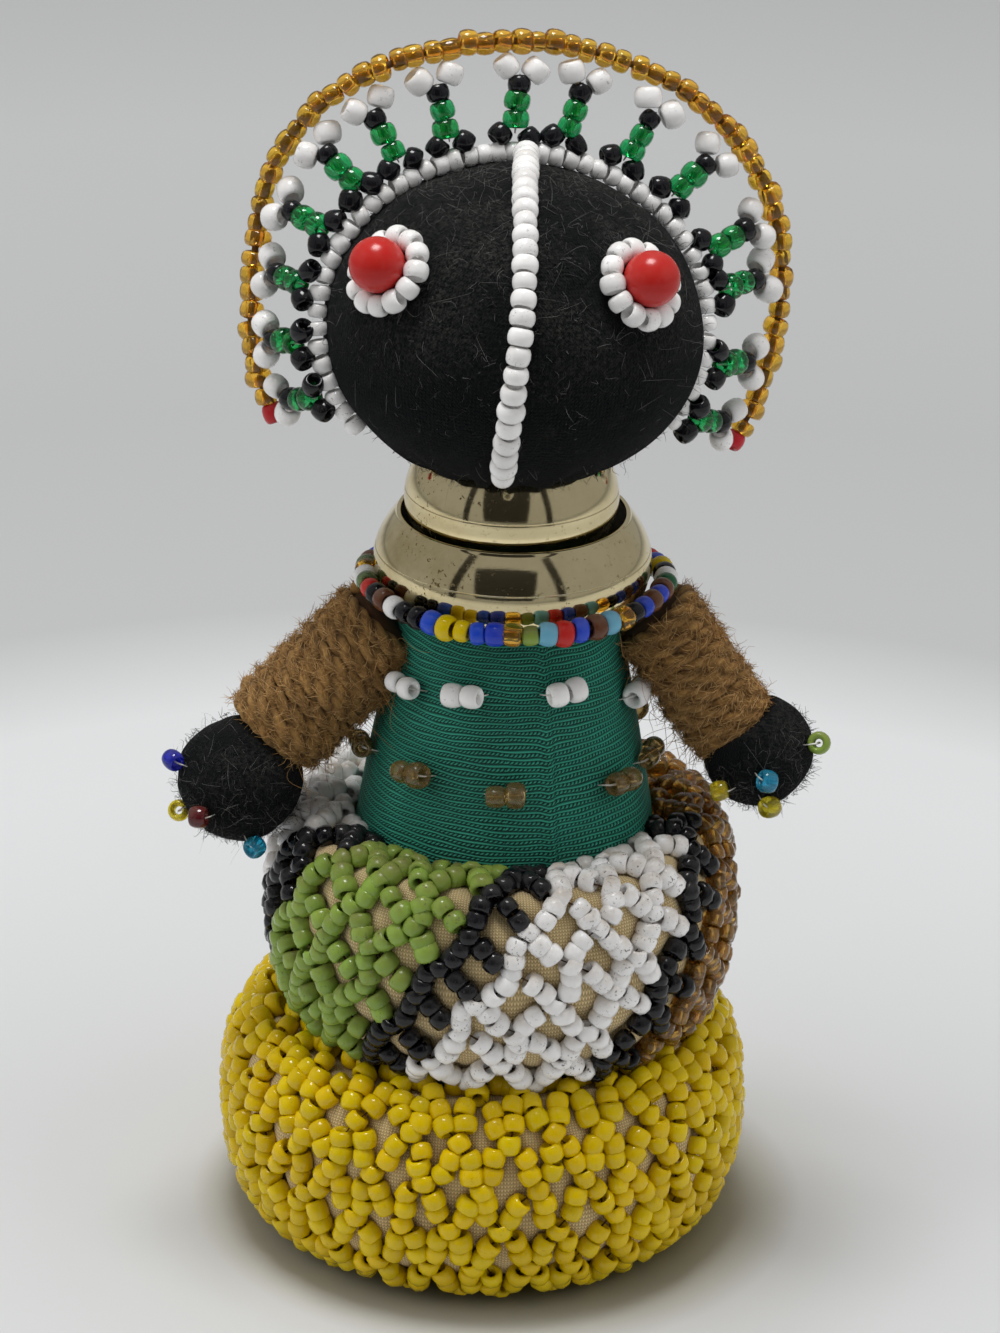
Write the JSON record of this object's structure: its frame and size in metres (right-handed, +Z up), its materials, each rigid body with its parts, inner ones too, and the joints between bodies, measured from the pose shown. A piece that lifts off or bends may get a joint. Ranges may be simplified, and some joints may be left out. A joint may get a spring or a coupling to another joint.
{
  "type": "beaded doll",
  "caption": "Stuffed cloth and thread doll on two bead-netted skirt rings, with brass neck rings, bead necklace, twine arms, felt head and a fan-shaped bead crown.",
  "frame": {"origin": "centre of the torso's flat underside, level with the table", "axes": "+Z up, face towards -Y, the doll's left hand towards +X"},
  "size_m": [0.0746, 0.0616, 0.1381],
  "materials": {
    "green_thread": "matte",
    "beige_knit": "matte",
    "yellow_bead": "gloss",
    "mixed_bead": "satin",
    "brass": "gloss",
    "necklace_bead": "gloss",
    "black_felt": "matte",
    "white_bead": "satin",
    "red_bead": "gloss",
    "crown_bead": "gloss",
    "amber_glass": "gloss",
    "jute_twine": "matte",
    "cobalt_glass": "gloss",
    "garnet_glass": "gloss",
    "teal_glass": "gloss",
    "yellow_glass": "gloss",
    "lime_bead": "gloss"
  },
  "bodies": {
    "root": {"torso": "green_thread", "lower_cushion": "beige_knit", "lower_bead_net": "yellow_bead", "upper_cushion": "beige_knit", "upper_bead_net": "mixed_bead", "lower_brass_ring": "brass", "upper_brass_ring": "brass", "necklace": "necklace_bead", "head": "black_felt", "parting_strand": "white_bead", "left_eye": "red_bead", "right_eye": "red_bead", "left_eye_ring": "white_bead", "right_eye_ring": "white_bead", "crown_row": "white_bead", "crown_arc": "amber_glass", "left_arm": "jute_twine", "right_arm": "jute_twine", "left_hand": "black_felt", "right_hand": "black_felt", "crown_spoke_01": "crown_bead", "crown_spoke_02": "crown_bead", "crown_spoke_03": "crown_bead", "crown_spoke_04": "crown_bead", "crown_spoke_05": "crown_bead", "crown_spoke_06": "crown_bead", "crown_spoke_07": "crown_bead", "crown_spoke_08": "crown_bead", "crown_spoke_09": "crown_bead", "crown_spoke_10": "crown_bead", "crown_spoke_11": "crown_bead", "crown_spoke_12": "crown_bead", "crown_spoke_13": "crown_bead", "crown_spoke_14": "crown_bead", "crown_spoke_15": "crown_bead", "white_bead_pair_1": "white_bead", "white_bead_pair_2": "white_bead", "white_bead_pair_3": "white_bead", "white_bead_pair_4": "white_bead", "white_bead_pair_5": "white_bead", "white_bead_pair_6": "white_bead", "white_bead_pair_7": "white_bead", "amber_bead_pair_1": "amber_glass", "amber_bead_pair_2": "amber_glass", "amber_bead_pair_3": "amber_glass", "amber_bead_pair_4": "amber_glass", "amber_bead_pair_5": "amber_glass", "amber_bead_pair_6": "amber_glass", "amber_bead_pair_7": "amber_glass", "amber_bead_pair_8": "amber_glass", "left_finger_bead_cobalt": "cobalt_glass", "left_finger_bead_yellow": "yellow_glass", "left_finger_bead_garnet": "garnet_glass", "left_finger_bead_teal": "teal_glass", "right_finger_bead_citrine": "yellow_glass", "right_finger_bead_blue": "teal_glass", "right_finger_bead_yellow": "yellow_glass", "right_finger_bead_lime": "lime_bead"}
  },
  "joints": []
}
